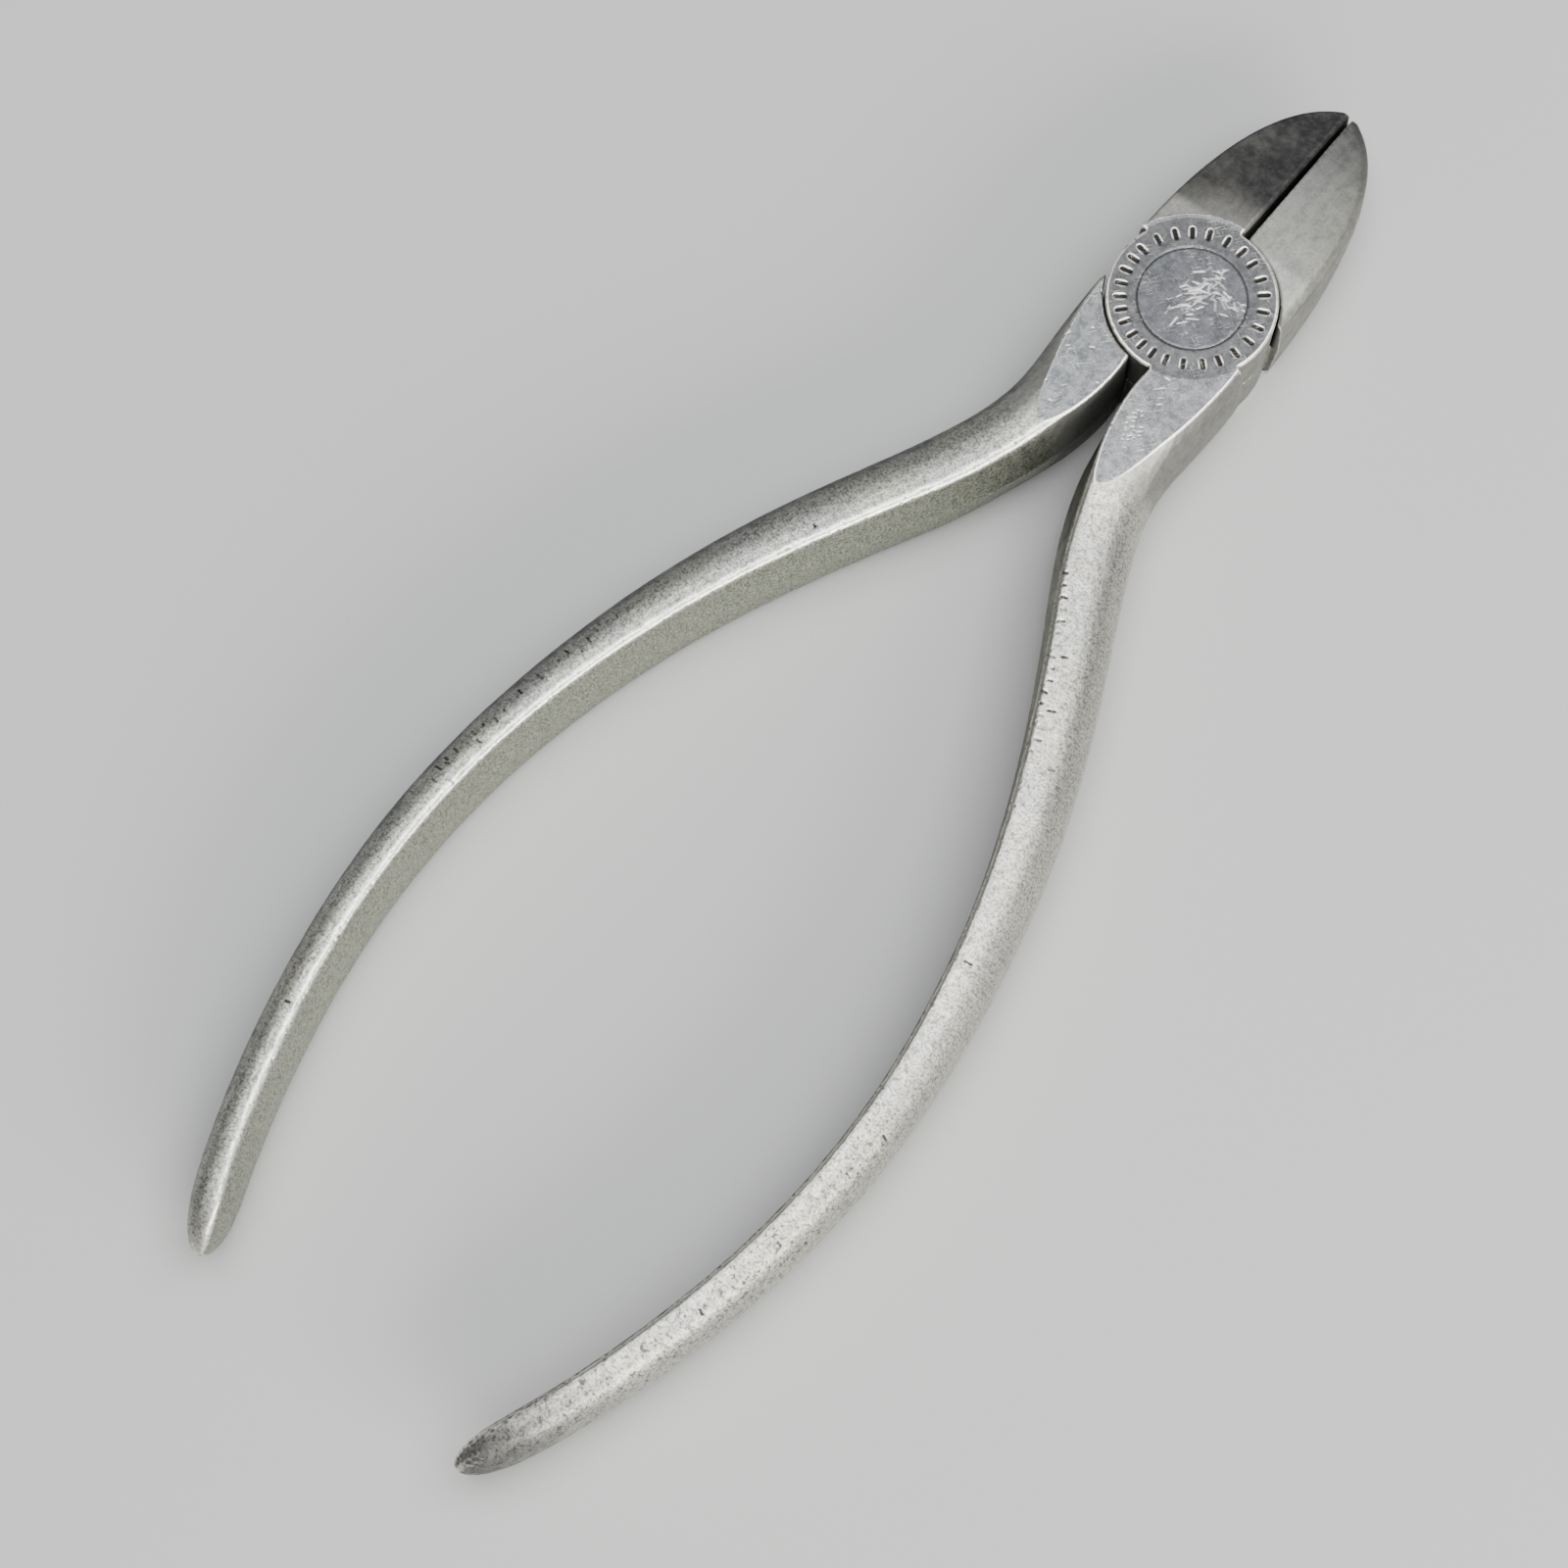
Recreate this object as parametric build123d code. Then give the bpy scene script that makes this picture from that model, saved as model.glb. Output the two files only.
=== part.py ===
"""Side-cutting pliers with a lap joint: two forged steel halves and one pivot rivet.

Frame: millimetres. The origin is where the pivot axis meets the lower ground face of the joint.
+Y runs towards the jaw tips, +X to the handle of the upper half, and +Z up along the pivot axis.
Each half is first modelled about the middle plane of the joint, in the attitude of the upper half:
its jaw on -X, its lap above the middle plane and its handle on +X. The lower half is the same
forging turned half a turn about the long axis.
"""
from build123d import *
import math
import os

# Joint
joint_thickness = 11.5      # across the two ground faces
lap_radius = 8.3            # round lap of each half
rim_gap = 0.15              # between a lap's rim and the wall of the pocket it turns in
face_gap = 0.04             # between the two laps
rim_break = 0.12            # chamfer round the lap's ground face
raised_margin = 0.75        # how far in front of the lap's rim the jaw's sloping face starts

# Rivet
rivet_head_radius = 5.35    # at the ground face
rivet_shank_radius = 3.5
rivet_head_depth = 1.7      # height of the countersunk head
rivet_running_gap = 0.05    # to the half that turns on it
rivet_groove = 0.05         # fine groove round the flush head

# Jaws
jaw_reach = 26.8            # pivot axis to tip
jaw_half_width = 8.65       # at the middle plane
jaw_root = 3.1              # how far in front of the pivot axis the jaw's shoulder stands
jaw_draft = 3.5             # lean of the forged outer wall, degrees
tip_thickness = 5.0         # at the tip
side_fall = 0.9             # how much lower a jaw's face is at its outer side
edge_gap = 0.03             # between the two cutting edges when shut
bevel_lap_side = 0.2        # how far the bevel has fallen back at the face on the lap's side
bevel_pocket_side = 0.4     # the same at the other face
lap_side_facet = 0.35       # narrow facet between the bevel and the face on the lap's side
bevel_depth = 4.4           # height of the bevel, from the cutting edge up
edge_land = 0.10            # fall-back of the fine bevel next to the edge
edge_land_height = 0.35
lap_side_round = 0.3        # outer edge of the jaw's sloping face, on the lap's side
pocket_side_round = 1.2     # the same on the other side

# Handles
handle_reach = 127.3        # pivot axis to handle end
grip_half_span = 25.7       # middle of the handle to the centre line, where the grip is widest
end_half_span = 15.0        # the same at the handle end
crotch_half_gap = 0.95      # half the slot between the handles behind the joint
root_width = 7.9            # handle width where it leaves the joint
shoulder_back = 3.1         # how far behind the pivot axis the handle's shoulder stands
inner_edge_radius = 0.8     # edge between the top and the inner wall
fullness = 0.7              # of the rounded outer side, 0.55 is an ellipse and 1 a square
nose_length = 7.0           # rounded end of the handle
section_spacing = 6.0       # between the sections the handle is lofted through

half_thickness = joint_thickness / 2
raised_radius = lap_radius + raised_margin
tip_fall = (half_thickness - tip_thickness / 2) / (jaw_reach - jaw_root)


def jaw_outline(inset):
    """Closed outline of both jaws together, drawn in by inset on its outer side."""
    width = jaw_half_width - inset
    reach = jaw_reach - inset
    run = reach - jaw_root
    right_side = [
        (width * 1.01, jaw_root),
        (width * 0.985, jaw_root + 0.26 * run),
        (width * 0.885, jaw_root + 0.52 * run),
        (width * 0.665, jaw_root + 0.77 * run),
        (width * 0.35, jaw_root + 0.935 * run),
        (width * 0.09, reach),
    ]
    left_side = [(-x, y) for x, y in reversed(right_side)]
    edges = (
        Spline(*right_side)
        + Line(right_side[-1], left_side[0])
        + Spline(*left_side)
        + Line(left_side[-1], right_side[0])
    )
    return make_face(edges)


def jaw_blank():
    """Both jaws as one forging, widest at the middle plane."""
    lean = half_thickness * math.tan(math.radians(jaw_draft))
    middle = jaw_outline(0)
    rim = jaw_outline(lean)
    upper = loft([middle, Pos(0, 0, half_thickness) * rim])
    return upper + mirror(upper, about=Plane.XY)


def above_sloping_face():
    """Everything above the jaw's face, which falls from the joint to the tip and to the outside."""
    far = jaw_reach + 5
    profile = Polyline(
        (jaw_root, half_thickness),
        (far, half_thickness - tip_fall * (far - jaw_root)),
        (far, half_thickness + 5),
        (jaw_root, half_thickness + 5),
        close=True,
    )
    width = 2 * jaw_half_width
    across = Vector(-width, 0, -width * side_fall / jaw_half_width)
    return extrude(Plane.YZ * make_face(profile), across.length, dir=across)


def bevel_cutter():
    """The space between the jaws, over and under the cutting edges."""
    rise = half_thickness + 2
    half_gap = edge_gap / 2

    def fall_back(face_value):
        slope = (face_value - edge_land) / (bevel_depth - edge_land_height)
        return half_gap + edge_land + slope * (rise - edge_land_height)

    far = 2 * jaw_half_width
    profile = Polyline(
        (-fall_back(bevel_lap_side), rise),
        (-half_gap - edge_land, edge_land_height),
        (-half_gap, 0),
        (-half_gap - edge_land, -edge_land_height),
        (-fall_back(bevel_pocket_side), -rise),
        (far, -rise),
        (far, rise),
        close=True,
    )
    length = jaw_reach + 5
    face = Plane.XZ * make_face(profile)
    return Pos(0, length, 0) * extrude(face, length)


def facet_cutter():
    """The space over the narrow facet beside the bevel, on the lap's side."""
    start = -bevel_lap_side - lap_side_facet
    profile = Polyline(
        (start - 1, half_thickness + 1),
        (start + lap_side_facet + 1, half_thickness - lap_side_facet - 1),
        (start + lap_side_facet + 1, half_thickness + 1),
        close=True,
    )
    length = jaw_reach + 5
    along = Vector(0, length, -tip_fall * length)
    face = Pos(0, jaw_root, 0) * (Plane.XZ * make_face(profile))
    return extrude(face, along.length, dir=along)


def rounded_face_edge(blank, upwards, radius):
    """The blank with the curved rim of its upper or lower sloping face rounded."""
    face = blank.faces().sort_by(Axis.Z)[-1 if upwards else 0]
    rims = face.edges().filter_by(lambda edge: edge.geom_type == GeomType.BSPLINE)
    return fillet(rims, radius)


def jaw():
    """Jaw of one half: sloping faces above and below, bevels towards the other jaw."""
    slope_cut = above_sloping_face()
    other_jaw = Pos(2 * jaw_half_width, 0, 0) * Box(4 * jaw_half_width, 200, 200)
    blank = jaw_blank() - other_jaw - slope_cut - mirror(slope_cut, about=Plane.XY)
    blank = rounded_face_edge(blank, False, pocket_side_round)
    blank = rounded_face_edge(blank, True, lap_side_round)
    raised = (jaw_blank() & Cylinder(raised_radius, 4 * half_thickness)) & slope_cut
    return (blank - facet_cutter()) + raised - bevel_cutter()


def handle_section(width, upper, lower, lean):
    """Cross-section of the handle: upright inner wall on -X, rounded outer side on +X.

    It reaches upper above the middle plane and lower below it.
    """
    inner = -width / 2
    outer = width / 2
    radius = min(inner_edge_radius, 0.3 * width)
    edges = []
    for height in (upper, -lower):
        corner = Vector(inner + lean, height)
        down_wall = (Vector(inner, 0) - corner).normalized() * radius
        wall_end = corner + down_wall
        crest = corner + Vector(radius, 0)
        shoulder = crest + Vector(fullness * (outer - crest.X), 0)
        edges.append(Line((inner, 0), wall_end))
        edges.append(Bezier(wall_end, corner, crest))
        edges.append(Bezier(crest, shoulder, (outer, fullness * height), (outer, 0)))
    return make_face(edges)


def handle():
    """Handle of one half, from inside the joint to its rounded end."""
    root_x = crotch_half_gap + root_width / 2
    run = handle_reach - 19
    h = half_thickness
    # Stations along the handle: centre x, centre y, width, height above the middle plane,
    # height below it, lean of the inner wall. Where a height is more than half the joint's
    # thickness, the ground face cuts it off.
    stations = [
        (root_x, -shoulder_back, root_width, h + 3.6, h + 3.6, 0.1),
        (root_x, -9.0, root_width, h + 2.6, h + 2.3, 0.2),
        (root_x - 0.1, -14.0, root_width - 0.15, h + 1.3, h + 0.9, 0.6),
        (root_x + 0.5, -18.6, root_width - 0.4, h + 0.15, h - 0.1, 1.3),
        (root_x + 2.5, -24.3, root_width - 0.7, h - 0.25, h - 0.3, 0.9),
        (0.455 * grip_half_span, -19 - 0.128 * run, 6.6, h - 0.3, h - 0.3, 0.5),
        (0.61 * grip_half_span, -19 - 0.202 * run, 6.3, h - 0.3, h - 0.3, 0.4),
        (0.745 * grip_half_span, -19 - 0.278 * run, 5.9, h - 0.25, h - 0.25, 0.35),
        (0.91 * grip_half_span, -19 - 0.41 * run, 5.15, h - 0.2, h - 0.2, 0.35),
        (0.995 * grip_half_span, -19 - 0.54 * run, 4.6, h - 0.25, h - 0.25, 0.35),
        (0.972 * grip_half_span, -19 - 0.71 * run, 4.2, h - 0.5, h - 0.5, 0.3),
        (0.813 * grip_half_span, -19 - 0.87 * run, 4.0, h - 0.9, h - 0.9, 0.3),
        (end_half_span, -handle_reach, 3.8, h - 1.4, h - 1.4, 0.3),
    ]
    spine = Spline(*[(x, y) for x, y, *_ in stations], tangents=[(0, -1), (-0.47, -0.88)])
    marks = [(spine.param_at_point(Vector(x, y)) * spine.length, sizes) for x, y, *sizes in stations]
    straight = spine.length - nose_length
    steps = round(straight / section_spacing)
    sections = []
    for step in range(steps + 1):
        distance = straight * step / steps
        sections.append(section_at(spine, distance, sizes_at(marks, distance)))
    for share in (0.35, 0.62, 0.82, 0.94, 0.99):
        distance = straight + nose_length * share
        shrink = math.sqrt(1 - share ** 2.4)
        sizes = [size * shrink for size in sizes_at(marks, distance)]
        sections.append(section_at(spine, distance, sizes))
    return loft(sections)


def sizes_at(marks, distance):
    """Section sizes at a distance along the spine, eased smoothly from station to station."""
    index = 0
    while index < len(marks) - 2 and marks[index + 1][0] < distance:
        index += 1
    (start, before), (end, after) = marks[index], marks[index + 1]
    share = (distance - start) / (end - start)
    sizes = []
    for item in range(len(before)):
        rise_in = rate(marks, index, item) * (end - start)
        rise_out = rate(marks, index + 1, item) * (end - start)
        change = after[item] - before[item]
        bend = share * (1 - share) * ((rise_in - change) * (1 - share) - (rise_out - change) * share)
        sizes.append(before[item] + change * share + bend)
    return sizes


def rate(marks, index, item):
    """How fast a size changes along the spine at a station."""
    low = marks[max(index - 1, 0)]
    high = marks[min(index + 1, len(marks) - 1)]
    return (high[1][item] - low[1][item]) / (high[0] - low[0])


def section_at(spine, distance, sizes):
    """Handle section standing across the spine, at a distance along it."""
    place = distance / spine.length
    forward = spine % place
    across = Vector(-forward.Y, forward.X)
    plane = Plane(origin=spine @ place, x_dir=across, z_dir=across.cross(Vector(0, 0, 1)))
    return plane * handle_section(*sizes)


def forging():
    """One half with its lap and pocket, before the rivet hole."""
    lap = extrude(Circle(lap_radius), half_thickness)
    lap = chamfer(lap.edges().group_by(Axis.Z)[-1], rim_break)
    pocket = Pos(0, 0, face_gap / 2) * extrude(Circle(lap_radius + rim_gap), -2 * half_thickness)
    slab = Box(400, 400, joint_thickness)
    return (jaw() + (handle() & slab) - pocket) + (lap - pocket)


def rivet_profile(gap):
    """Half-section of the rivet, grown by gap, beside the pivot axis."""
    h = half_thickness
    head = rivet_head_radius + gap
    shank = rivet_shank_radius + gap
    neck = h - rivet_head_depth
    points = [(0, h), (head, h), (shank, neck), (shank, -neck), (head, -h), (0, -h)]
    return Polyline(*points, close=True)


def turned(profile):
    """Solid of revolution about the pivot axis."""
    return revolve(Plane.XZ * make_face(profile), Axis.Z)


def head_groove(height):
    """Fine V groove round the flush rivet head, at a ground face."""
    ring = Polyline(
        (rivet_head_radius - rivet_groove, height),
        (rivet_head_radius + rivet_groove, height),
        (rivet_head_radius, height - math.copysign(rivet_groove, height)),
        close=True,
    )
    return turned(ring)


def main():
    """Write one STEP file for each piece."""
    os.makedirs("parts", exist_ok=True)
    grooves = head_groove(half_thickness) + head_groove(-half_thickness)
    rivet = turned(rivet_profile(0))
    loose_hole = turned(rivet_profile(rivet_running_gap))
    half = forging()
    pieces = {
        "upper_half": half - rivet - grooves,
        "lower_half": Rot(0, 180, 0) * (half - loose_hole - grooves),
        "pivot_rivet": rivet - grooves,
    }
    for name, shape in pieces.items():
        export_step(Pos(0, 0, half_thickness) * shape, f"parts/{name}.step")


main()
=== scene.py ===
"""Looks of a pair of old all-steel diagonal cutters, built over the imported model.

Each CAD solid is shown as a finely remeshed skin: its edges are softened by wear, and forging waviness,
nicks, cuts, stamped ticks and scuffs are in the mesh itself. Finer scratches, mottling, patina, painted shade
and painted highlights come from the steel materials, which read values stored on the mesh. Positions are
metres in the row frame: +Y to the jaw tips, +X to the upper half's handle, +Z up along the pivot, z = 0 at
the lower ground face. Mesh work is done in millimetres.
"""

import math

import bpy
import numpy as np
from mathutils import Matrix, Vector


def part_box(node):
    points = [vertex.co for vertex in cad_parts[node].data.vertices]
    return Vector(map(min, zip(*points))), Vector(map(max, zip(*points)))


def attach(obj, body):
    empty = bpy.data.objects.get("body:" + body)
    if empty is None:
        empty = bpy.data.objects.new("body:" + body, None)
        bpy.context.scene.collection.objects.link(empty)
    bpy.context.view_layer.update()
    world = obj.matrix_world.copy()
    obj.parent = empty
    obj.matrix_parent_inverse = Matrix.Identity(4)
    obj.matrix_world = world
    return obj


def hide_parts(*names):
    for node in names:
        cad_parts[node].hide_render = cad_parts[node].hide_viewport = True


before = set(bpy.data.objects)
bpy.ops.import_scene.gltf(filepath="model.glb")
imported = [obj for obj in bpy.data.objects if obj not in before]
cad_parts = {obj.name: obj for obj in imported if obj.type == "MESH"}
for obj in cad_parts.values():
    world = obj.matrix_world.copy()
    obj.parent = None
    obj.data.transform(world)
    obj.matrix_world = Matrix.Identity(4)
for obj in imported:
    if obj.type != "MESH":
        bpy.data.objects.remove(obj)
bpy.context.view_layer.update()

MM = 0.001
JOINT_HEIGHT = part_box("pivot_rivet")[1].z / MM
RIVET_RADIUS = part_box("pivot_rivet")[1].x / MM
HANDLE_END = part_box("upper_half")[0].y / MM
VOXEL = 0.11 * MM


# ---------------------------------------------------------------- camera, lights and floor

CAMERA_AT = Vector((0.0580, -0.1274, 0.30215))
CAMERA_RIGHT = Vector((0.781, 0.624, -0.016))
CAMERA_AHEAD = Vector((-0.192, 0.216, -0.957))
LENS = 76.5
LIT_POINT = Vector((0, -0.04, 0))

# Name, place, size, watts and colour.
SOFTBOXES = (
    ("side_window", (0.85, -0.38, 0.36), (1.1, 0.5), 11, (1.0, 0.985, 0.95)),
    ("overhead", (0.12, 0.05, 1.0), (0.9, 1.1), 14, (0.97, 0.985, 1.0)),
)


def add_camera():
    """The camera at the photograph's viewing angle."""
    data = bpy.data.cameras.new("camera")
    data.lens = LENS
    data.sensor_width = 36
    data.clip_start = 0.01
    data.clip_end = 10
    camera = bpy.data.objects.new("camera", data)
    back = -CAMERA_AHEAD.normalized()
    right = (CAMERA_RIGHT - CAMERA_RIGHT.dot(back) * back).normalized()
    up = back.cross(right)
    turn = Matrix((right, up, back)).transposed().to_4x4()
    camera.matrix_world = Matrix.Translation(CAMERA_AT) @ turn
    bpy.context.collection.objects.link(camera)
    bpy.context.scene.camera = camera


def add_softbox(name, place, size, watts, colour):
    """A rectangular studio light that faces the tool."""
    data = bpy.data.lights.new(name, "AREA")
    data.shape = "RECTANGLE"
    data.size, data.size_y = size
    data.energy = watts
    data.color = colour
    light = bpy.data.objects.new(name, data)
    light.location = place
    light.rotation_mode = "QUATERNION"
    light.rotation_quaternion = (Vector(place) - LIT_POINT).to_track_quat("Z", "Y")
    bpy.context.collection.objects.link(light)


def add_world():
    """A dim, even surround."""
    world = bpy.data.worlds.new("studio")
    world.use_nodes = True
    background = world.node_tree.nodes["Background"]
    background.inputs["Color"].default_value = (0.80, 0.82, 0.85, 1)
    background.inputs["Strength"].default_value = 0.20
    bpy.context.scene.world = world
    bpy.context.scene.view_settings.look = "AgX - Medium High Contrast"


def add_floor():
    """A plain pale sheet under the tool."""
    reach = 8.0
    corners = [(-reach, -reach, 0), (reach, -reach, 0), (reach, reach, 0), (-reach, reach, 0)]
    mesh = bpy.data.meshes.new("floor")
    mesh.from_pydata(corners, [], [(0, 1, 2, 3)])
    floor = bpy.data.objects.new("floor", mesh)
    floor.location.z = -0.02 * MM
    bpy.context.collection.objects.link(floor)
    material = bpy.data.materials.new("floor_paper")
    material.use_nodes = True
    shader = material.node_tree.nodes["Principled BSDF"]
    shader.inputs["Base Color"].default_value = (0.50, 0.50, 0.49, 1)
    shader.inputs["Roughness"].default_value = 0.85
    mesh.materials.append(material)


# ---------------------------------------------------------------- mesh arrays

class Skin:
    """Point, normal and neighbour arrays of a fine mesh, in millimetres."""

    def __init__(self, mesh):
        self.mesh = mesh
        count = len(mesh.vertices)
        self.points = np.empty(count * 3)
        mesh.vertices.foreach_get("co", self.points)
        self.points = self.points.reshape(-1, 3) / MM
        edges = np.empty(len(mesh.edges) * 2, np.int64)
        mesh.edges.foreach_get("vertices", edges)
        edges = edges.reshape(-1, 2)
        self.ends = np.concatenate([edges[:, 0], edges[:, 1]])
        self.others = np.concatenate([edges[:, 1], edges[:, 0]])
        self.links = np.bincount(self.ends, minlength=count)
        self.read_normals()

    def read_normals(self):
        flat = np.empty(len(self.mesh.vertices) * 3)
        self.mesh.vertex_normals.foreach_get("vector", flat)
        self.normals = flat.reshape(-1, 3)

    def write_points(self):
        self.mesh.vertices.foreach_set("co", (self.points * MM).ravel())
        self.mesh.update()
        self.read_normals()

    def around(self, values):
        """Mean of a value over each point's neighbours."""
        columns = values.reshape(len(values), -1)
        sums = [np.bincount(self.ends, column[self.others], len(values)) for column in columns.T]
        return (np.stack(sums, 1) / self.links[:, None]).reshape(values.shape)

    def relax(self, rounds):
        """Takes the remesh's steps out without shrinking the shape."""
        for _ in range(rounds):
            for share in (0.5, -0.52):
                self.points += share * (self.around(self.points) - self.points)

    def ridges(self, reach):
        """How far each point stands out of surroundings smoothed over a reach, along its normal."""
        smoothed = self.points
        for _ in range(round((reach * MM / VOXEL) ** 2)):
            smoothed = 0.5 * (smoothed + self.around(smoothed))
        return np.einsum("ij,ij->i", self.points - smoothed, self.normals)

    def push(self, height):
        """Moves each point along its normal."""
        self.points += self.normals * height[:, None]

    def keep(self, name, values):
        """Stores a value for the materials."""
        attribute = self.mesh.attributes.new(name, "FLOAT", "POINT")
        attribute.data.foreach_set("value", values.astype(np.float32))


NOISE_SIDE = 64
noise_lattice = np.random.default_rng(7).random((NOISE_SIDE,) * 3)


def noise_at(points, scale, shift=0.0):
    """Smooth noise from -1 to 1 whose lumps are about scale millimetres across."""
    where = points / scale + shift
    cell = np.floor(where).astype(np.int64)
    share = where - cell
    share = share * share * (3 - 2 * share)
    total = np.zeros(len(points))
    for corner in np.ndindex(2, 2, 2):
        weight = np.ones(len(points))
        for axis in range(3):
            weight *= share[:, axis] if corner[axis] else 1 - share[:, axis]
        i, j, k = ((cell + corner) % NOISE_SIDE).T
        total += weight * noise_lattice[i, j, k]
    return 2 * total - 1


def step(low, high, values):
    """Rises smoothly from 0 at low to 1 at high."""
    share = np.clip((values - low) / (high - low), 0, 1)
    return share * share * (3 - 2 * share)


# ---------------------------------------------------------------- skins

def skin_of(node, body):
    """A finely remeshed copy of a CAD node that rides with it and stands for it."""
    piece = bpy.data.objects.new(f"{node}_skin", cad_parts[node].data.copy())
    bpy.context.collection.objects.link(piece)
    remesh = piece.modifiers.new("remesh", "REMESH")
    remesh.mode = "VOXEL"
    remesh.voxel_size = VOXEL
    graph = bpy.context.evaluated_depsgraph_get()
    fine = bpy.data.meshes.new_from_object(piece.evaluated_get(graph))
    piece.modifiers.clear()
    piece.data = fine
    fine.name = piece.name
    fine.materials.clear()
    fine.shade_smooth()
    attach(piece, body)
    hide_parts(node)
    return Skin(fine)


# ---------------------------------------------------------------- marks in the mesh

TICK_RING = 6.85
TICK_LENGTH = 1.15
TICK_WIDTH = 0.34
TICK_DEPTH = 0.16
TICK_ARCS = ((-60, 155, 16), (170, 285, 11))

LAP_EDGE = 8.4          # a little outside the lap's rim
LAP_SLACK = 0.12        # how far below the top a point of the lap's softened face may lie
FLAT_SLACK = 0.03       # the same for any ground face
FLAT_TURN = (0.97, 0.999)   # vertical part of a normal, from not flat to flat
WEAR_REACH = 0.36       # surroundings that edge wear is judged against
HANDLE_ROOT = -20       # y that parts the handle from the head
END_CLEAR = 9.0         # rounded end of the handle, where nothing is nicked
SCUFF_DEPTH = 0.018
CUT_DEPTH = 0.05
CUT_WIDTH = 0.15

# Nicks in the edges: count and depth.
HANDLE_NICKS = (150, 0.06)
HEAD_NICKS = (60, 0.05)

# Clouds of scuffs: count, middle, spread, shortest and longest, heading.
UPPER_SCUFFS = (
    (10, (0.4, -9.5), (2.6, 1.6), (0.4, 1.4), 0.9),
    (38, (3.4, -14.0), (0.5, 0.9), (0.12, 0.4), 0.6),
)
LOWER_SCUFFS = ((14, (-4.5, -11), (1.8, 3.5), (0.3, 1.2), 0.9),)
RIVET_SCUFFS = (
    (64, (0.2, 0.7), (0.75, 2.0), (0.4, 1.6), 0.9),
    (24, (2.6, 1.6), (0.9, 0.5), (0.4, 1.5), -0.3),
)

# Cuts across the handles: first and last distance from the end, count, offset outwards and its spread.
UPPER_CUTS = (84, 103, 17, -1.9, 0.25)
LOWER_CUTS = (46, 70, 22, 0.45, 0.3)
STRAY_CUTS = (20, 98, 14, 0.3, 1.0)

# Painted highlight lines over a handle's inner wall: rise of the surface in degrees, spread and strength.
CREASE_HIGHLIGHTS = ((52, 8, 1.0), (78, 3, 0.6))

# Direction that the sides carrying painted shade face.
SHADED_SIDE = np.array([-0.78, 0.58, -0.25])
LAP_TARNISH = 0.52

# Forging unevenness: height, size of its lumps and a shift that keeps the layers apart.
FORGING = ((0.035, 7.0, 3.1), (0.012, 2.1, 9.7), (0.007, 0.7, 5.3), (0.004, 0.3, 1.3))


def stamp_ticks(skin, top):
    """Plain stamped ticks round the lap, in two arcs."""
    random = np.random.default_rng(3)
    x, y = skin.points[:, 0], skin.points[:, 1]
    radius = np.hypot(x, y)
    depth = np.zeros(len(x))
    for first, last, count in TICK_ARCS:
        for place in np.linspace(first, last, count):
            turn = math.radians(place + random.uniform(-0.7, 0.7))
            along = x * math.cos(turn) + y * math.sin(turn)
            across = np.abs(y * math.cos(turn) - x * math.sin(turn))
            inside = np.maximum(np.abs(along - TICK_RING) - TICK_LENGTH / 2 + TICK_WIDTH / 2, 0)
            distance = np.hypot(across, inside)
            strength = random.uniform(0.6, 1.0)
            depth = np.maximum(depth, strength * (1 - step(0.1, TICK_WIDTH / 2 + 0.08, distance)))
    depth *= top * (radius < TICK_RING + TICK_LENGTH)
    skin.points[:, 2] -= TICK_DEPTH * depth
    return depth


def strokes(skin, marks):
    """How strongly each point is scored by straight strokes (x, y, heading, length, width, strength)."""
    x, y = skin.points[:, 0], skin.points[:, 1]
    scored = np.zeros(len(x))
    for mark_x, mark_y, heading, length, width, strength in marks:
        dx, dy = x - mark_x, y - mark_y
        near = np.flatnonzero(np.hypot(dx, dy) < length / 2 + 0.3)
        dx, dy = dx[near], dy[near]
        along = np.abs(dx * math.cos(heading) + dy * math.sin(heading))
        across = np.abs(dy * math.cos(heading) - dx * math.sin(heading))
        stroke = 1 - step(width / 2, width / 2 + 0.09, across)
        stroke *= 1 - step(length * 0.3, length * 0.5, along)
        scored[near] = np.maximum(scored[near], strength * stroke)
    return scored


def scatter(random, count, centre, spread, length, heading):
    """Random strokes about a centre."""
    return [
        (
            *random.normal(centre, spread),
            random.normal(heading, 0.55),
            random.uniform(*length),
            random.uniform(0.02, 0.10),
            random.uniform(0.35, 1.0),
        )
        for _ in range(count)
    ]


def nick_edges(skin, ridge, random, where, count, depth):
    """Small dents knocked into the sharp edges."""
    sharp = np.flatnonzero((ridge > np.quantile(ridge[where], 0.97)) & where)
    dents = np.zeros(len(ridge))
    for seed in random.choice(sharp, count):
        size = random.uniform(0.15, 0.34)
        distance = np.linalg.norm(skin.points - skin.points[seed], axis=1)
        near = distance < size
        dent = (1 - distance[near] / size) ** 1.5 * random.uniform(0.3, 1.0)
        dents[near] = np.maximum(dents[near], dent)
    skin.push(-depth * dents)
    return dents


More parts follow.
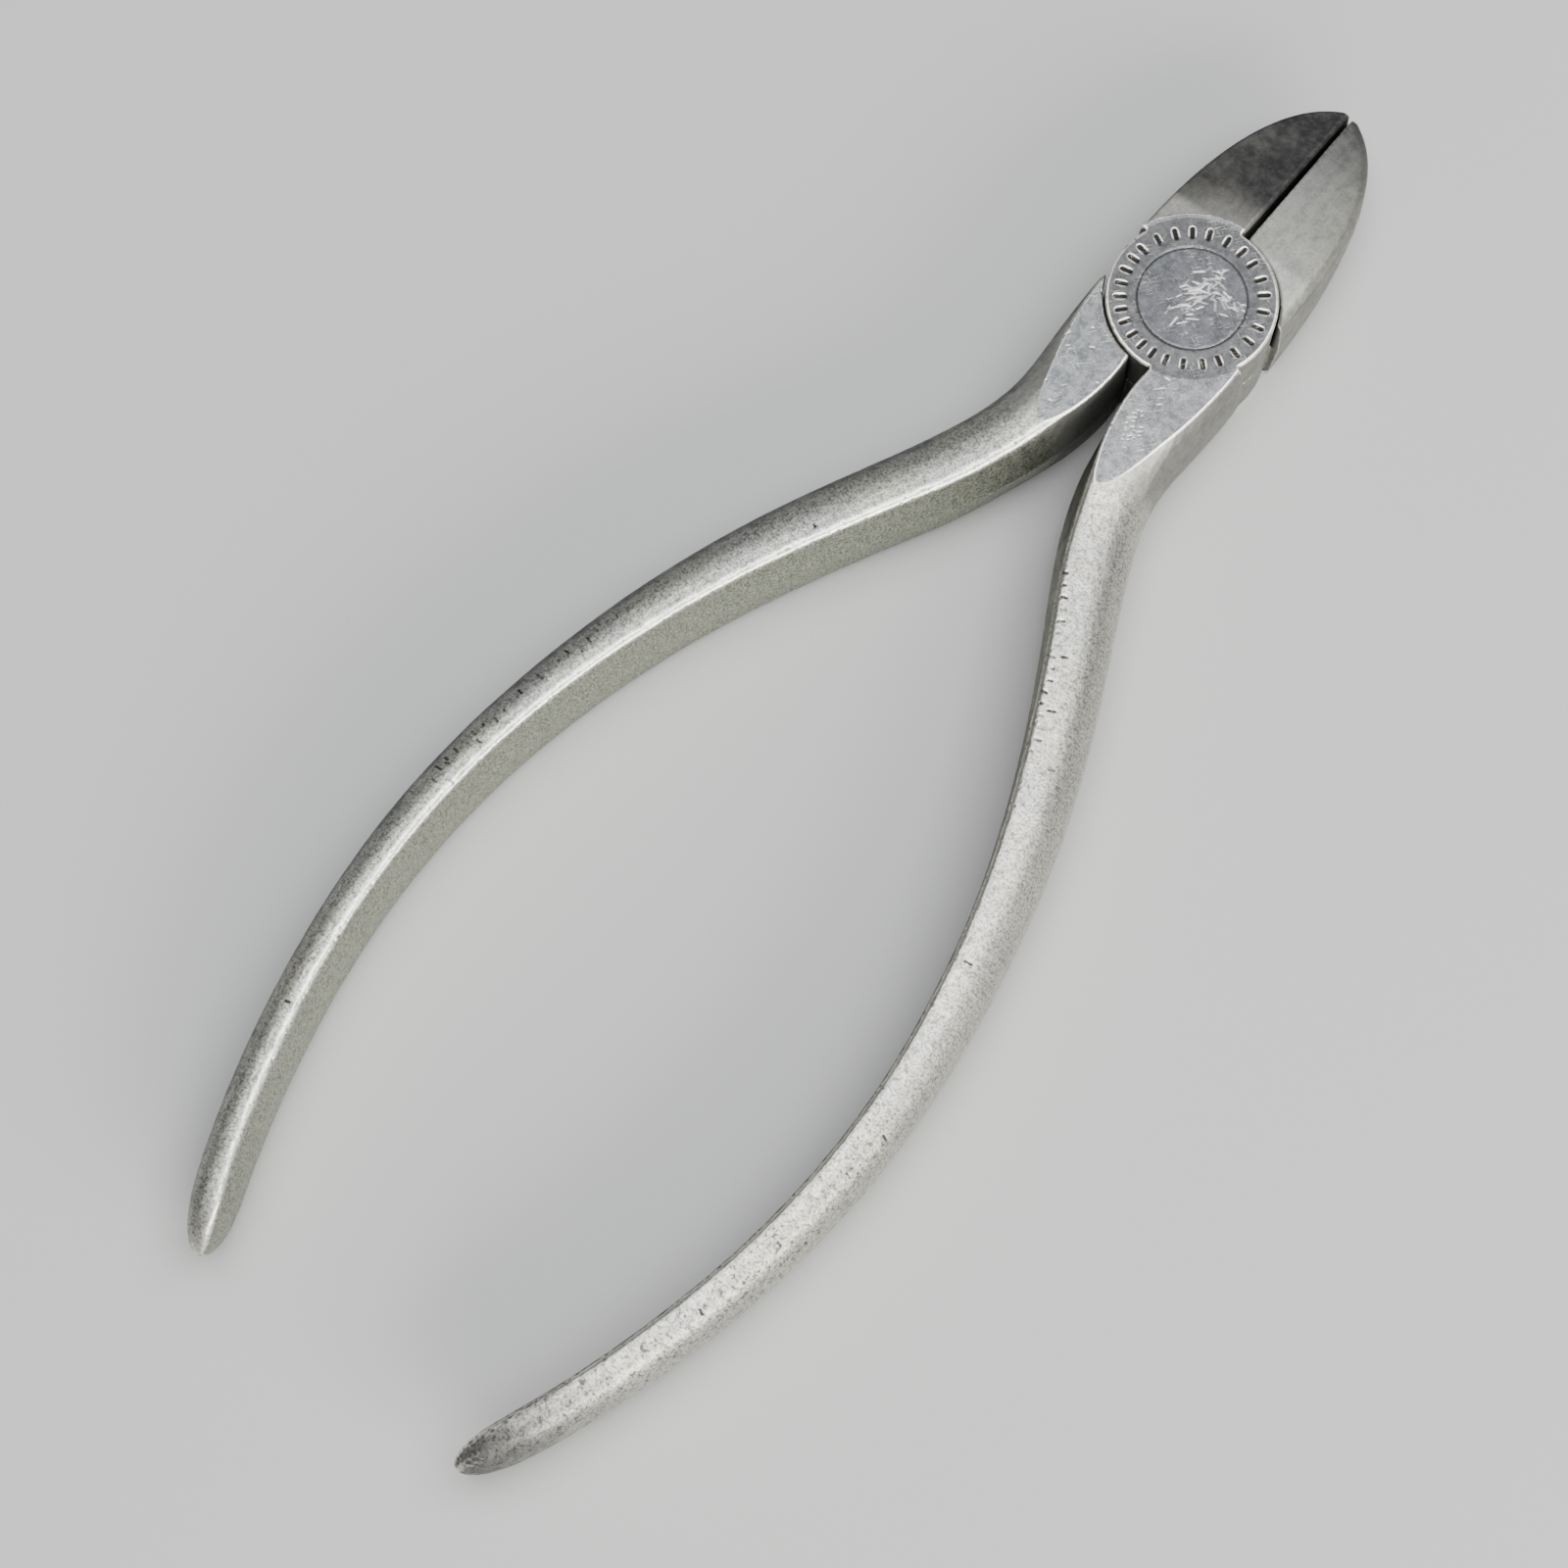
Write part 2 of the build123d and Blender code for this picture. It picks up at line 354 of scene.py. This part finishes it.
class Handle:
    """Centre line of a half's handle, read from its mesh."""

    def __init__(self, points):
        self.rows = np.arange(HANDLE_END + 1.5, -19, 1.0)
        middles = []
        for row in self.rows:
            x = points[np.abs(points[:, 1] - row) < 0.6, 0]
            middles.append((x.min() + x.max()) / 2)
        self.middles = np.array(middles)
        self.slopes = np.gradient(self.middles, self.rows)
        runs = np.hypot(np.diff(self.middles), np.diff(self.rows))
        self.runs = np.concatenate([[0], np.cumsum(runs)])

    def along(self, points):
        """Distance of each point from the handle's end, measured along the handle."""
        x, y = points[:, 0], points[:, 1]
        run = np.interp(y, self.rows, self.runs)
        slope = np.interp(y, self.rows, self.slopes)
        middle = np.interp(y, self.rows, self.middles)
        past_end = np.minimum(y - self.rows[0], 0)
        return run + (x - middle) * slope / np.hypot(1, slope) + past_end

    def crossing(self, run, offset):
        """Point (x, y) at a run along the handle, offset outwards, and the heading across it."""
        y = np.interp(run, self.runs, self.rows)
        x = np.interp(run, self.runs, self.middles)
        slope = np.interp(run, self.runs, self.slopes)
        side = math.copysign(1, x)
        heading = math.atan(-slope)
        reach = side * offset
        return x + reach * math.cos(heading), y + reach * math.sin(heading), heading

    def inward(self, points):
        """Direction across the handle towards the other handle, at each point."""
        slope = np.interp(points[:, 1], self.rows, self.slopes)
        side = -math.copysign(1, self.middles[0])
        across = np.stack([np.ones(len(slope)), -slope, np.zeros(len(slope))], 1)
        return side * across / np.linalg.norm(across, axis=1)[:, None]


def cross_cuts(handle, random, runs, offset, spread):
    """Short cuts across the handle at the given runs."""
    cuts = []
    for run in runs:
        x, y, heading = handle.crossing(run, offset + random.normal(0, spread))
        heading += random.normal(0, 0.12)
        cuts.append((x, y, heading, random.uniform(0.5, 1.2), CUT_WIDTH, random.uniform(0.2, 1)))
    return cuts


def scuff_marks(random, clouds):
    """The strokes of several clouds of scuffs."""
    return [mark for cloud in clouds for mark in scatter(random, *cloud)]


class Regions:
    """How far each point of a half lies from the pivot, and its share, 0 to 1, in each surface."""

    def __init__(self, skin):
        x, y, z = skin.points.T
        facing_up = skin.normals[:, 2]
        self.from_pivot = np.hypot(x, y)
        self.upward = step(0.3, 0.7, facing_up)
        self.flat_top = (z > JOINT_HEIGHT - FLAT_SLACK) * step(*FLAT_TURN, facing_up)
        flat_bottom = (z < FLAT_SLACK) * step(*FLAT_TURN, -facing_up)
        on_lap = self.from_pivot < LAP_EDGE
        self.lap_face = (z > JOINT_HEIGHT - LAP_SLACK) * step(0.5, 0.8, facing_up) * on_lap
        self.ground = np.maximum.reduce([self.flat_top, flat_bottom, self.lap_face])
        self.handle = step(-16, -22, y) * (1 - self.ground)
        self.jaw = step(8, 9, y) * (1 - self.ground)


def forge(skin, regions):
    """The uneven surface a drop forging keeps, faint on the jaw."""
    forged = np.maximum(regions.handle, 0.2 * regions.jaw)
    heights = [height * noise_at(skin.points, size, shift) for height, size, shift in FORGING]
    skin.push(sum(heights) * forged)


def knock_edges(skin, ridge, along, random):
    """Nicks in the edges of the handle and of the head."""
    y = skin.points[:, 1]
    on_handle = (y < HANDLE_ROOT) & (along > END_CLEAR)
    nicks = nick_edges(skin, ridge, random, on_handle, *HANDLE_NICKS)
    return np.maximum(nicks, nick_edges(skin, ridge, random, y > HANDLE_ROOT, *HEAD_NICKS))


def mark_faces(skin, regions, handle, random, is_upper):
    """Ticks, scuffs and cuts. Returns what is dark in a recess, and what is scored bright."""
    marks = stamp_ticks(skin, regions.flat_top) if is_upper else np.zeros(len(skin.points))
    scuffs = scuff_marks(random, UPPER_SCUFFS if is_upper else LOWER_SCUFFS)
    first, last, count, offset, spread = UPPER_CUTS if is_upper else LOWER_CUTS
    cuts = cross_cuts(handle, random, np.linspace(first, last, count), offset, spread)
    first, last, count, offset, spread = STRAY_CUTS
    cuts += cross_cuts(handle, random, random.uniform(first, last, count), offset, spread)
    scored = strokes(skin, scuffs) * regions.flat_top
    cut = strokes(skin, cuts) * regions.upward * regions.handle
    skin.push(-SCUFF_DEPTH * scored - CUT_DEPTH * cut)
    return np.maximum(marks, cut), scored


def tarnish_and_shade_of(skin, regions, along, is_upper):
    """Dark oxide on the handle's end and on the lap; painted shade on one side, underneath and on the head's
    walls; oxide and painted shade on the jaw.
    """
    y = skin.points[:, 1]
    facing_up = skin.normals[:, 2]
    # Painted shade: sides that face this direction are darkened.
    facing = skin.normals @ SHADED_SIDE
    side_shade = step(0.05, 0.65, facing + 0.08 * noise_at(skin.points, 1.6, 6.1))
    # Painted shade on faces that look down.
    underside_shade = step(-0.1, -0.5, facing_up)
    end = 1 - step(0, 16, along + 1.5 * noise_at(skin.points, 2.5, 2.2))
    end *= (0.85 if is_upper else 0.25) * (y < -100)
    # Painted shade on the head's upright walls.
    head_wall_shade = step(-20, -17, y) * step(0.75, 0.45, np.abs(facing_up))
    # Jaws darken away from the pivot: partly oxide, partly painted shade, with the lighter part near the
    # pivot standing in for a highlight.
    if is_upper:
        jaw = 0.42 + 0.58 * step(8.5, 14, regions.from_pivot)
        lap = LAP_TARNISH * regions.lap_face
    else:
        jaw = 0.36 + 0.6 * step(9, 29, regions.from_pivot)
        lap = np.zeros(len(y))
    jaw *= regions.jaw
    return np.maximum.reduce([0.92 * side_shade, 0.6 * underside_shade, end, 0.65 * head_wall_shade, lap, jaw])


def crease_highlight_and_wall(skin, regions, handle, along):
    """The painted bright double highlight along the crease over the inner wall, and the wall itself."""
    leaning_in = np.sum(skin.normals * handle.inward(skin.points), 1)
    rise = np.degrees(np.arctan2(skin.normals[:, 2], leaning_in))
    crease_highlight = sum(strength * np.exp(-(((rise - angle) / spread) ** 2)) for angle, spread, strength in CREASE_HIGHLIGHTS)
    crease_highlight *= regions.handle * step(8, 12, along)
    inner_wall = step(25, 8, rise) * (leaning_in > 0) * regions.handle
    return np.clip(crease_highlight, 0, 1), inner_wall


def edge_wear(skin, regions):
    """Edge sharpness, less beside the rivet and away from the head's two flat faces."""
    y, z = skin.points[:, 1], skin.points[:, 2]
    beside_rivet = 1 - step(RIVET_RADIUS + 0.7, RIVET_RADIUS + 1.2, regions.from_pivot)
    mid_height = (z > 0.6) & (z < JOINT_HEIGHT - 0.6) & (y > HANDLE_ROOT)
    kept = (1 - 0.95 * regions.lap_face * beside_rivet) * np.where(mid_height, 0.25, 1.0)
    return skin.ridges(WEAR_REACH) * kept


def seam_round_lap(skin, regions, is_upper):
    """Grime on the pocket's rim, beside the other half's lap."""
    z = skin.points[:, 2]
    pocket_side = (z < JOINT_HEIGHT / 2) if is_upper else (z > JOINT_HEIGHT / 2)
    outside = regions.from_pivot > LAP_EDGE - 0.3
    return (1 - step(LAP_EDGE + 0.15, LAP_EDGE + 0.5, regions.from_pivot)) * outside * pocket_side


def finish_half(skin, is_upper):
    """Wear, forging and marks of one half. The lower half is the upper one turned over."""
    random = np.random.default_rng(11 if is_upper else 12)
    skin.relax(3)
    skin.write_points()
    ridge = skin.ridges(WEAR_REACH)
    handle = Handle(skin.points)
    along = handle.along(skin.points)
    regions = Regions(skin)
    forge(skin, regions)
    nicks = knock_edges(skin, ridge, along, random)
    marks, scored = mark_faces(skin, regions, handle, random, is_upper)
    skin.write_points()

    y = skin.points[:, 1]
    fouled = 0.3 + 0.7 * step(-66, -92, y) if is_upper else np.full(len(y), 0.45)
    crease_highlight, inner_wall = crease_highlight_and_wall(skin, regions, handle, along)
    skin.keep("ridge", edge_wear(skin, regions))
    skin.keep("ground", regions.ground)
    skin.keep("marks", np.maximum(marks, seam_round_lap(skin, regions, is_upper)))
    skin.keep("scored", scored)
    skin.keep("nicks", nicks)
    skin.keep("tarnish_and_shade", tarnish_and_shade_of(skin, regions, along, is_upper))
    skin.keep("fouled", fouled * regions.handle)
    skin.keep("along", along)
    skin.keep("crease_highlight", crease_highlight)
    skin.keep("coarse", regions.handle)
    skin.keep("inner_wall", inner_wall)


def finish_rivet(skin):
    """The flush rivet, with its knocked and scored head."""
    random = np.random.default_rng(21)
    skin.relax(2)
    skin.write_points()
    z = skin.points[:, 2]
    top = (z > JOINT_HEIGHT - FLAT_SLACK) * step(*FLAT_TURN, skin.normals[:, 2])
    scored = strokes(skin, scuff_marks(random, RIVET_SCUFFS)) * top
    skin.push(-SCUFF_DEPTH * scored)
    skin.write_points()
    nothing = np.zeros(len(z))
    skin.keep("ridge", skin.ridges(WEAR_REACH) * 0.2)
    skin.keep("ground", step(0.3, 0.6, np.abs(skin.normals[:, 2])))
    skin.keep("scored", scored)
    skin.keep("tarnish_and_shade", nothing + LAP_TARNISH)
    for name in ("marks", "nicks", "fouled", "along", "crease_highlight", "inner_wall", "coarse"):
        skin.keep(name, nothing)


# ---------------------------------------------------------------- steel

FORGED_WARM = (0.60, 0.585, 0.535, 1)
FORGED_COOL = (0.55, 0.55, 0.53, 1)
FORGED_DULL = (0.30, 0.29, 0.265, 1)
INNER_WALL_REFLECTION_TINT = (0.43, 0.44, 0.37, 1)
GROUND_LIGHT = (0.27, 0.275, 0.285, 1)
GROUND_DARK = (0.17, 0.175, 0.19, 1)
GRAIN_PALE = (0.74, 0.72, 0.67, 1)
GRAIN_DARK = (0.10, 0.095, 0.085, 1)
OXIDE_AND_SHADE = (0.032, 0.032, 0.033, 1)
GRIME = (0.05, 0.047, 0.043, 1)
WORN_EDGE = (0.80, 0.79, 0.74, 1)
CREASE_HIGHLIGHT = (0.86, 0.86, 0.80, 1)
SCRATCH = (0.82, 0.80, 0.75, 1)


class Nodes:
    """Short calls for building a material's node tree."""

    def __init__(self, name):
        self.material = bpy.data.materials.new(name)
        self.material.use_nodes = True
        self.tree = self.material.node_tree
        self.shader = self.tree.nodes["Principled BSDF"]

    def add(self, kind, **settings):
        node = self.tree.nodes.new(kind)
        for key, value in settings.items():
            setattr(node, key, value)
        return node

    def link(self, output, target):
        self.tree.links.new(output, target)

    def feed(self, socket, value):
        if isinstance(value, bpy.types.NodeSocket):
            self.link(value, socket)
        else:
            socket.default_value = value

    def attribute(self, name):
        return self.add("ShaderNodeAttribute", attribute_name=name).outputs["Fac"]

    def place(self):
        """Position on the part in millimetres."""
        scaled = self.add("ShaderNodeVectorMath", operation="SCALE")
        self.link(self.add("ShaderNodeTexCoord").outputs["Object"], scaled.inputs[0])
        scaled.inputs["Scale"].default_value = 1 / MM
        return scaled.outputs[0]

    def stretched(self, place, lengths, turn=0.0):
        """Coordinates in which a lump is as long along each turned axis as lengths says."""
        mapping = self.add("ShaderNodeMapping", vector_type="TEXTURE")
        self.link(place, mapping.inputs["Vector"])
        mapping.inputs["Scale"].default_value = lengths
        mapping.inputs["Rotation"].default_value = (0, 0, turn)
        return mapping.outputs[0]

    def scratches(self, place, length, width, turn, low, high):
        """Fine straight scratches that run one way."""
        return self.ramp(self.noise(self.stretched(place, (length, width, width), turn), 1.0, 1.0), low, high)

    def noise(self, place, scale, detail=3.0, roughness=0.55):
        node = self.add("ShaderNodeTexNoise")
        self.link(place, node.inputs["Vector"])
        node.inputs["Scale"].default_value = scale
        node.inputs["Detail"].default_value = detail
        node.inputs["Roughness"].default_value = roughness
        return node.outputs["Fac"]

    def ramp(self, value, low, high, bottom=0.0, top=1.0):
        node = self.add("ShaderNodeMapRange", interpolation_type="SMOOTHSTEP")
        self.link(value, node.inputs["Value"])
        for key, number in zip(("From Min", "From Max", "To Min", "To Max"), (low, high, bottom, top)):
            node.inputs[key].default_value = number
        return node.outputs["Result"]

    def math(self, operation, first, second=0.0):
        node = self.add("ShaderNodeMath", operation=operation)
        self.feed(node.inputs[0], first)
        self.feed(node.inputs[1], second)
        return node.outputs[0]

    def times(self, first, second):
        return self.math("MULTIPLY", first, second)

    def mix(self, share, first, second):
        node = self.add("ShaderNodeMix", data_type="RGBA")
        self.feed(node.inputs["Factor"], share)
        self.feed(node.inputs[6], first)
        self.feed(node.inputs[7], second)
        return node.outputs[2]

    def blend(self, share, first, second):
        node = self.add("ShaderNodeMix", data_type="FLOAT")
        self.feed(node.inputs["Factor"], share)
        self.feed(node.inputs[2], first)
        self.feed(node.inputs[3], second)
        return node.outputs[0]


def steel(name, tone):
    """Old handled steel: mottled ground faces, patina on the forging, bright worn edges, painted shade and a
    painted highlight.
    """
    n = Nodes(name)
    place = n.place()
    ground = n.attribute("ground")
    ridge = n.attribute("ridge")
    scored = n.attribute("scored")
    tarnish_and_shade = n.attribute("tarnish_and_shade")
    fouled = n.attribute("fouled")
    crease_highlight = n.attribute("crease_highlight")

    blotches = n.noise(place, 0.16, 5.0, 0.6)
    mottle = n.noise(place, 0.9, 6.0, 0.7)
    speckle = n.noise(place, 2.2, 3.0, 0.7)
    grain = n.noise(place, 4.2, 2.0, 0.6)
    ringed = n.add("ShaderNodeCombineXYZ")
    n.link(n.times(n.attribute("along"), 4.5), ringed.inputs[0])
    n.link(n.times(blotches, 9.0), ringed.inputs[1])
    ground_lines = n.noise(ringed.outputs[0], 1.0, 3.0, 0.7)

    # Bare metal, its speckle, the oxide and painted shade on it, and a painted crease highlight.
    bright = n.mix(n.ramp(blotches, 0.35, 0.65), FORGED_WARM, FORGED_COOL)
    forged = n.mix(n.ramp(mottle, 0.50, 0.72, 0.0, 0.35), bright, FORGED_DULL)
    polished = n.mix(n.ramp(mottle, 0.38, 0.66), GROUND_LIGHT, GROUND_DARK)
    # Painted reflection tint: inner walls are coloured greener and darker than the top.
    forged = n.mix(n.attribute("inner_wall"), forged, INNER_WALL_REFLECTION_TINT)
    colour = n.mix(ground, forged, polished)
    strength = n.ramp(n.attribute("coarse"), 0.0, 1.0, 0.25, 1.0)
    colour = n.mix(n.times(n.ramp(grain, 0.50, 0.64, 0.0, 0.45), strength), colour, GRAIN_PALE)
    colour = n.mix(n.times(n.ramp(grain, 0.50, 0.38, 0.0, 0.50), strength), colour, GRAIN_DARK)
    colour = n.mix(n.ramp(ground_lines, 0.42, 0.66, 0.0, 0.22), colour, GRAIN_DARK)
    spots = n.ramp(speckle, 0.53, 0.60, 0.0, 0.85)
    spread = n.ramp(mottle, 0.42, 0.58, 0.25, 1.0)
    colour = n.mix(n.times(n.times(spots, spread), fouled), colour, GRAIN_DARK)
    fine_patches = n.ramp(mottle, 0.36, 0.62, 0.90, 1.0)
    broad_patches = n.ramp(blotches, 0.35, 0.6, 0.92, 1.0)
    tarnish_and_shade = n.times(tarnish_and_shade, n.times(fine_patches, broad_patches))
    # Oxide, together with painted shade on one side, underneath, on the head's walls and on the jaws.
    colour = n.mix(tarnish_and_shade, colour, OXIDE_AND_SHADE)
    # Painted highlight: a bright double line along the crease over the inner wall.
    highlighted = n.times(crease_highlight, n.ramp(mottle, 0.30, 0.5, 0.45, 0.95))
    colour = n.mix(highlighted, colour, CREASE_HIGHLIGHT)

    # Worn edges, grime in corners and marks, and bright scratches.
    worn = n.ramp(ridge, 0.008, 0.026)
    broken = n.times(worn, n.ramp(mottle, 0.30, 0.50, 0.35, 1.0))
    colour = n.mix(broken, colour, WORN_EDGE)
    crevice = n.ramp(n.times(ridge, -1.0), 0.008, 0.03)
    colour = n.mix(crevice, colour, GRIME)
    colour = n.mix(n.times(n.attribute("marks"), 0.85), colour, GRIME)
    zone = n.ramp(n.noise(place, 0.45, 2.0), 0.46, 0.60)
    hairs = n.scratches(place, 1.6, 0.10, 0.9, 0.60, 0.68)
    hairs = n.math("MAXIMUM", hairs, n.scratches(place, 1.2, 0.10, -0.5, 0.62, 0.70))
    hairs = n.times(n.times(hairs, zone), n.times(ground, 0.55))
    scored = n.math("MAXIMUM", hairs, n.times(scored, n.ramp(grain, 0.25, 0.5, 0.35, 1.0)))
    colour = n.mix(scored, colour, SCRATCH)
    colour = n.mix(n.times(n.attribute("nicks"), 0.3), colour, GRAIN_DARK)
    toned = n.add("ShaderNodeMix", data_type="RGBA", blend_type="MULTIPLY")
    toned.inputs["Factor"].default_value = 1.0
    n.link(colour, toned.inputs[6])
    toned.inputs[7].default_value = (*tone, 1)
    n.link(toned.outputs[2], n.shader.inputs["Base Color"])

    # Polish and relief.
    rough = n.blend(ground, n.ramp(mottle, 0.3, 0.7, 0.44, 0.58), n.ramp(mottle, 0.3, 0.7, 0.34, 0.50))
    rough = n.blend(worn, rough, 0.30)
    rough = n.blend(crease_highlight, rough, 0.28)
    rough = n.blend(scored, rough, 0.45)
    rough = n.blend(crevice, rough, 0.75)
    n.link(rough, n.shader.inputs["Roughness"])
    n.link(n.blend(tarnish_and_shade, 1.0, 0.35), n.shader.inputs["Metallic"])

    relief = n.math("ADD", n.times(grain, 0.9), n.times(speckle, 1.2))
    relief = n.times(relief, strength)
    relief = n.math("ADD", relief, n.times(ground_lines, 0.5))
    relief = n.math("SUBTRACT", relief, scored)
    bump = n.add("ShaderNodeBump")
    bump.inputs["Strength"].default_value = 0.6
    bump.inputs["Distance"].default_value = 0.03 * MM
    n.link(relief, bump.inputs["Height"])
    n.link(bump.outputs["Normal"], n.shader.inputs["Normal"])
    return n.material


# ---------------------------------------------------------------- the scene

add_camera()
add_world()
add_floor()
for softbox in SOFTBOXES:
    add_softbox(*softbox)

upper = skin_of("upper_half", "upper")
lower = skin_of("lower_half", "lower")
rivet = skin_of("pivot_rivet", "upper")
finish_half(upper, True)
finish_half(lower, False)
finish_rivet(rivet)
upper.mesh.materials.append(steel("forged_steel_upper", (1.0, 0.99, 0.97)))
lower.mesh.materials.append(steel("forged_steel_lower", (0.98, 0.99, 0.97)))
rivet.mesh.materials.append(steel("rivet_steel", (1.0, 1.0, 1.02)))
